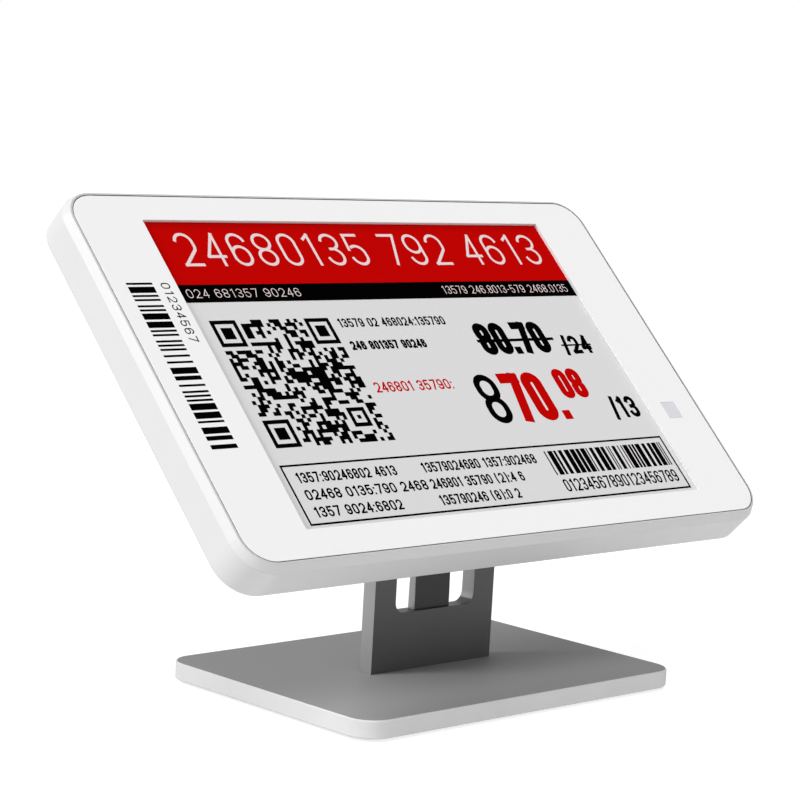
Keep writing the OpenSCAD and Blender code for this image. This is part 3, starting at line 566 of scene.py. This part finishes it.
# Stripes of seeded random widths that fill a length, as pairs of start and end
def stripes(start, length, seed, count, choices):
    draw = random.Random(seed)
    widths = [draw.choice(choices[i % 2]) for i in range(2 * count - 1)]
    unit = length / sum(widths)
    bars = []
    at = start
    for i, width in enumerate(widths):
        if i % 2 == 0:
            bars.append((at, at + width * unit))
        at += width * unit
    return bars


def add_display_image():
    image_z = FILM_Z + IMAGE_GAP
    over_z = image_z + INK_T + IMAGE_GAP
    half_w = VIEW_W / 2
    half_h = VIEW_H / 2
    banner_low = 41.0 * MM
    strip_low = 32.4 * MM
    code_left = -100.5 * MM
    code_top = 23.7 * MM
    code_cell = 8 * VIEW_W / DOTS_ACROSS
    code_count = 33
    box_line = 0.85 * MM
    bars_left = 32.6 * MM
    bars_length = 70 * MM
    bars_low = -57.8 * MM
    bars_high = -46.2 * MM
    code = square_code(code_left, code_top, code_cell, code_count)
    outline = frame_boxes(*mm_box(-103.6, -69.8, 105.4, -43.1), box_line)
    strikes = [mm_box(32, 9, 77, 10.4), mm_box(79.5, 5.6, 97.6, 6.4)]
    bars = stripes(bars_left, bars_length, 3, 26, ((1, 1, 2, 3, 4), (1, 1, 2)))
    boxes_sheet("image_banner", [(-half_w, banner_low, half_w, half_h)], "ink_red", image_z)
    boxes_sheet("image_strip", [(-half_w, strip_low, half_w, banner_low)], "ink_black", image_z)
    boxes_sheet("image_code", code, "ink_black", image_z)
    boxes_sheet("image_box", outline, "ink_black", image_z)
    boxes_sheet("image_strikes", strikes, "ink_black", over_z)
    bar_boxes = [(left, bars_low, right, bars_high) for left, right in bars]
    boxes_sheet("image_box_bars", bar_boxes, "ink_black", image_z)

    # Name, digits, box and line weight in millimetres, and gap as a share of a digit's width
    white_rows = [
        ("image_title", "24680135 792 4613", (-97, 50, 100, 66.5), 1.35, 0.42),
        ("image_strip_left", "024 681357 90246", (-104, 34.6, -48, 38.8), 0.34, 0.42),
        ("image_strip_right", "13579 246.8013-579 2468.0135", (29.5, 34.6, 104, 38.8), 0.34, 0.42),
    ]
    black_rows = [
        ("image_line_top", "13579 02 468024:135790", (-37.2, 18.8, 20.4, 23.2), 0.75, 0.3),
        ("image_line_bold", "246 801357 90246", (-37.2, 7.6, 3, 12), 1, 0.2),
        ("image_price_old", "80.70", (33, 2.5, 73, 19), 3.7, 0.1),
        ("image_unit_old", "/24", (80.2, 1.4, 97, 11), 1.9, 0.25),
        ("image_price_lead", "8", (15.9, -31.5, 28, -7), 3.1, 0.3),
        ("image_unit_new", "/13", (86.5, -32.7, 102.5, -21.8), 2, 0.25),
        ("image_box_a", "1357:90246802 4613", (-98.6, -51.4, -49.5, -46.8), 0.78, 0.3),
        ("image_box_b", "02468 0135:790 2468", (-98.6, -59, -38, -54.4), 0.78, 0.3),
        ("image_box_c", "1357 9024:6802", (-98.6, -66.6, -55.5, -62), 0.78, 0.3),
        ("image_box_d", "13579024680 1357:902468", (-36, -51.4, 26, -46.8), 0.78, 0.3),
        ("image_box_e", "246801 35790 (2):4 6", (-36, -59, 14.2, -54.4), 0.78, 0.3),
        ("image_box_f", "135790246 (8):0 2", (-36, -66.6, 7.2, -62), 0.78, 0.3),
        ("image_box_number", "01234567890123456789", (33.5, -66, 101.4, -60), 0.8, 0.3),
    ]
    red_rows = [
        ("image_line_red", "246801 35790:", (-37, -13.2, 4.6, -8.2), 0.75, 0.3),
        ("image_price_new", "70", (31, -31.6, 54.5, -7), 5, 0.12),
        ("image_price_dot", ".", (56.5, -31.5, 61, -27), 4.5, 0),
        ("image_price_cents", "08", (63, -21.3, 79, -6), 3.5, 0.12),
    ]
    for rows, slot, base_z in (
        (white_rows, "ink_white", over_z),
        (black_rows, "ink_black", image_z),
        (red_rows, "ink_red", image_z),
    ):
        for row in rows:
            digits(*row, slot, base_z)


def add_front_print():
    print_z = CASE_T + PRINT_GAP
    bars_low = -35 * MM
    bars_length = 76.2 * MM
    bars_left = -130.9 * MM
    bars_right = -118.9 * MM
    row_box = (-115.4, 13, -111.2, 41)
    bars = stripes(bars_low, bars_length, 11, 27, ((1, 1, 1, 2, 3), (1, 1, 2)))
    bar_boxes = [(bars_left, low, bars_right, high) for low, high in bars]
    boxes_sheet("print_bars", bar_boxes, "ink_black", print_z)
    digits("print_digits", "01234567", row_box, 0.5, 0.4, "ink_black", print_z, down=True)


# One strength for what the camera, a reflection or a glass sees, and another for the light on the object
def seen_or_not(tree, seen, lit):
    rays = tree.nodes.new("ShaderNodeLightPath").outputs
    shown = math_node(tree, "MAXIMUM", rays["Is Camera Ray"], rays["Is Glossy Ray"])
    shown = math_node(tree, "MAXIMUM", shown, rays["Is Transmission Ray"])
    return map_range(tree, shown, (0, 1), (lit, seen))


# Studio: a floor and a world that look white, with soft light of plain strength on the object
def add_studio():
    half = 30
    corners = [(-half, -half, 0), (half, -half, 0), (half, half, 0), (-half, half, 0)]
    mesh = bpy.data.meshes.new("floor")
    mesh.from_pydata(corners, [], [[0, 1, 2, 3]])
    floor = bpy.data.objects.new("floor", mesh)
    bpy.context.scene.collection.objects.link(floor)
    mat = bpy.data.materials.new("floor_white")
    mat.use_nodes = True
    tree = mat.node_tree
    tree.nodes.clear()
    out = tree.nodes.new("ShaderNodeOutputMaterial")
    matte = tree.nodes.new("ShaderNodeBsdfDiffuse")
    matte.inputs["Color"].default_value = (*grey(0.4), 1)
    glow = tree.nodes.new("ShaderNodeEmission")
    both = tree.nodes.new("ShaderNodeAddShader")
    tree.links.new(seen_or_not(tree, seen=0.78, lit=0.6), glow.inputs["Strength"])
    tree.links.new(matte.outputs["BSDF"], both.inputs[0])
    tree.links.new(glow.outputs["Emission"], both.inputs[1])
    tree.links.new(both.outputs["Shader"], out.inputs["Surface"])
    mesh.materials.append(mat)

    world = bpy.data.worlds.new("studio")
    world.use_nodes = True
    bpy.context.scene.world = world
    tree = world.node_tree
    background = tree.nodes["Background"]
    background.inputs["Color"].default_value = (*grey(1), 1)
    tree.links.new(seen_or_not(tree, seen=1, lit=0.3), background.inputs["Strength"])

    # Name, strength, width in degrees and the direction that the light comes from
    suns = [
        ("key", 0.44, 34, Vector((-0.3, -0.45, 0.84))),
        ("low", 0.72, 18, Vector((-0.73, 0.24, 0.64))),
    ]
    for name, strength, width, toward in suns:
        data = bpy.data.lights.new(name, "SUN")
        data.energy = strength * math.pi
        data.angle = math.radians(width)
        sun = bpy.data.objects.new(name, data)
        sun.matrix_world = toward.to_track_quat("Z", "Y").to_matrix().to_4x4()
        bpy.context.scene.collection.objects.link(sun)


add_camera()
add_studio()
paint_nodes()
add_display_image()
add_front_print()

bpy.context.scene.view_settings.view_transform = "Standard"
